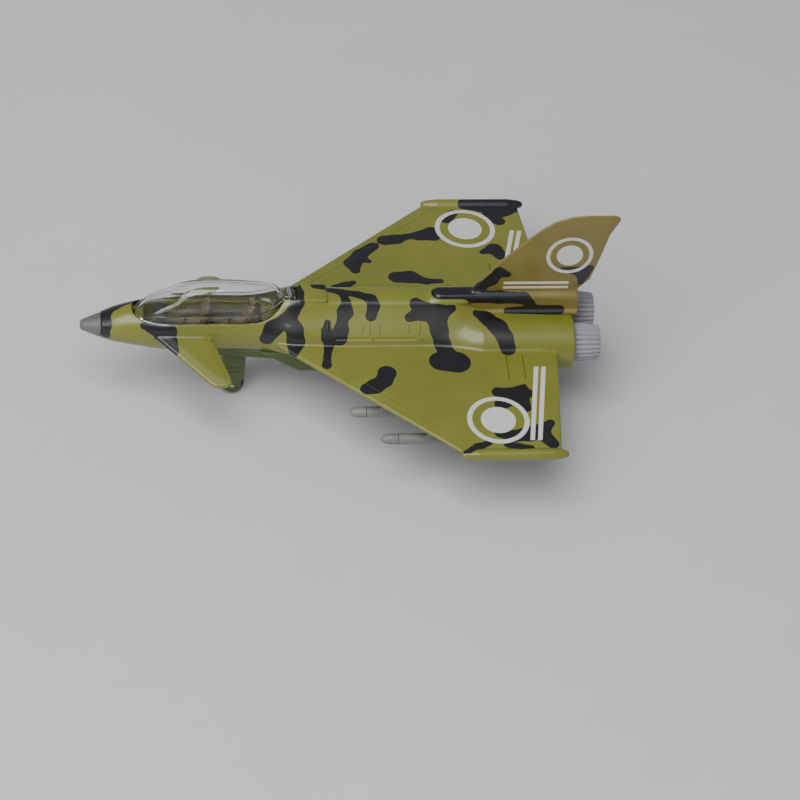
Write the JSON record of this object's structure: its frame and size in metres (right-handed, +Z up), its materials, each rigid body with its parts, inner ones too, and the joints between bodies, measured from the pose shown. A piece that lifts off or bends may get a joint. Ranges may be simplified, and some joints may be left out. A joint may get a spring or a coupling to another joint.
{
  "type": "toy airplane",
  "caption": "Die-cast toy delta-wing jet with canards, plug-in fin, hinged clear canopy, underwing stores and free-turning wheels.",
  "frame": {"origin": "on the ground under the middle of the airplane's length and span", "axes": "+X forward to the nose, +Y to the port wing, +Z up"},
  "size_m": [0.1936, 0.139, 0.0846],
  "materials": {
    "camo_paint": "gloss olive enamel with black patches over die-cast metal",
    "belly_plastic": "satin dark olive moulding",
    "cone_grey": "satin grey moulding",
    "clear_canopy": "polished clear moulding",
    "steel": "drawn wire and screw steel",
    "cockpit_plastic": "matt brown moulding",
    "fin_plastic": "gloss olive moulding with black patches",
    "pale_grey": "satin pale grey moulding",
    "tyre_black": "satin black wheel"
  },
  "bodies": {
    "airframe": {"upper_body": "camo_paint", "belly": "belly_plastic", "nose_cone": "cone_grey", "canopy_pin": "steel", "cockpit_insert": "cockpit_plastic", "fin": "fin_plastic", "nozzle_port": "pale_grey", "nozzle_starboard": "pale_grey", "missile_port_inner": "pale_grey", "missile_port_outer": "pale_grey", "missile_starboard_inner": "pale_grey", "missile_starboard_outer": "pale_grey", "nose_gear_leg": "belly_plastic", "nose_axle": "steel", "main_leg_port": "belly_plastic", "main_leg_starboard": "belly_plastic", "main_axle_port": "steel", "main_axle_starboard": "steel", "belly_screws": "steel"},
    "canopy_body": {"canopy": "clear_canopy"},
    "nose_wheel_body": {"nose_wheel": "tyre_black"},
    "main_wheel_port_body": {"main_wheel_port": "tyre_black"},
    "main_wheel_starboard_body": {"main_wheel_starboard": "tyre_black"}
  },
  "joints": [
    {"name": "canopy_hinge", "type": "hinge", "parent": "airframe", "child": "canopy_body", "pos_m": [0.021, 0, 0.0463], "axis": [0, -1, 0], "range_deg": [0, 50]},
    {"name": "nose_wheel_spin", "type": "hinge", "parent": "airframe", "child": "nose_wheel_body", "pos_m": [0.0396, 0, 0.0045], "axis": [0, 1, 0], "continuous": true},
    {"name": "main_wheel_port_spin", "type": "hinge", "parent": "airframe", "child": "main_wheel_port_body", "pos_m": [-0.0312, 0.0126, 0.0055], "axis": [0, 1, 0], "continuous": true},
    {"name": "main_wheel_starboard_spin", "type": "hinge", "parent": "airframe", "child": "main_wheel_starboard_body", "pos_m": [-0.0312, -0.0126, 0.0055], "axis": [0, 1, 0], "continuous": true}
  ]
}
